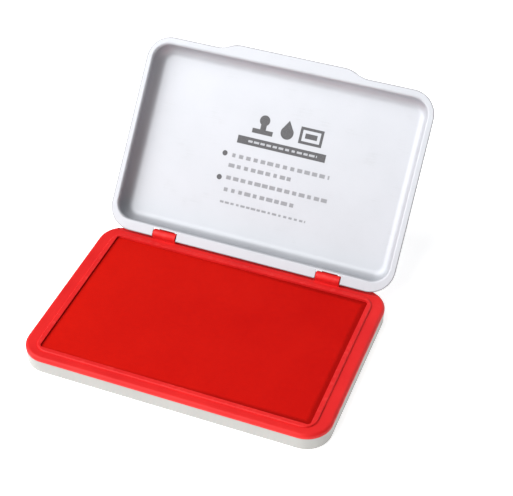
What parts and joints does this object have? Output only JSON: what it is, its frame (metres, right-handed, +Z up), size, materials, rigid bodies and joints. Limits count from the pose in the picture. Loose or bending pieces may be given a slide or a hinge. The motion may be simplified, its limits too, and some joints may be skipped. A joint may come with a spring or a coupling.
{
  "type": "ink pad",
  "caption": "Hinged rectangular ink pad: pale metal pan, red moulded frame round a cloth-covered felt pad, and a pressed white metal lid with a thumb lip, standing open.",
  "frame": {"origin": "middle of the base's flat underside", "axes": "+X along the long side, +Y towards the hinge, +Z up"},
  "size_m": [0.1384, 0.1504, 0.0827],
  "materials": {
    "pan_enamel": "satin",
    "lid_enamel": "satin",
    "red_plastic": "satin",
    "inked_cloth": "matte",
    "inked_felt": "matte",
    "grey_board": "matte",
    "pin_steel": "satin"
  },
  "bodies": {
    "base": {"lower_pan": "pan_enamel", "pad_frame": "red_plastic", "backing_board": "grey_board", "reservoir_felt": "inked_felt", "top_felt": "inked_felt", "pad_cloth": "inked_cloth"},
    "lid": {"lid_shell": "lid_enamel", "hinge_pin_left": "pin_steel", "hinge_pin_right": "pin_steel"}
  },
  "joints": [
    {"name": "lid_hinge", "type": "hinge", "parent": "base", "child": "lid", "pos_m": [0, 0.0444, 0.01085], "axis": [1, 0, 0], "range_deg": [0, 130.5]}
  ]
}
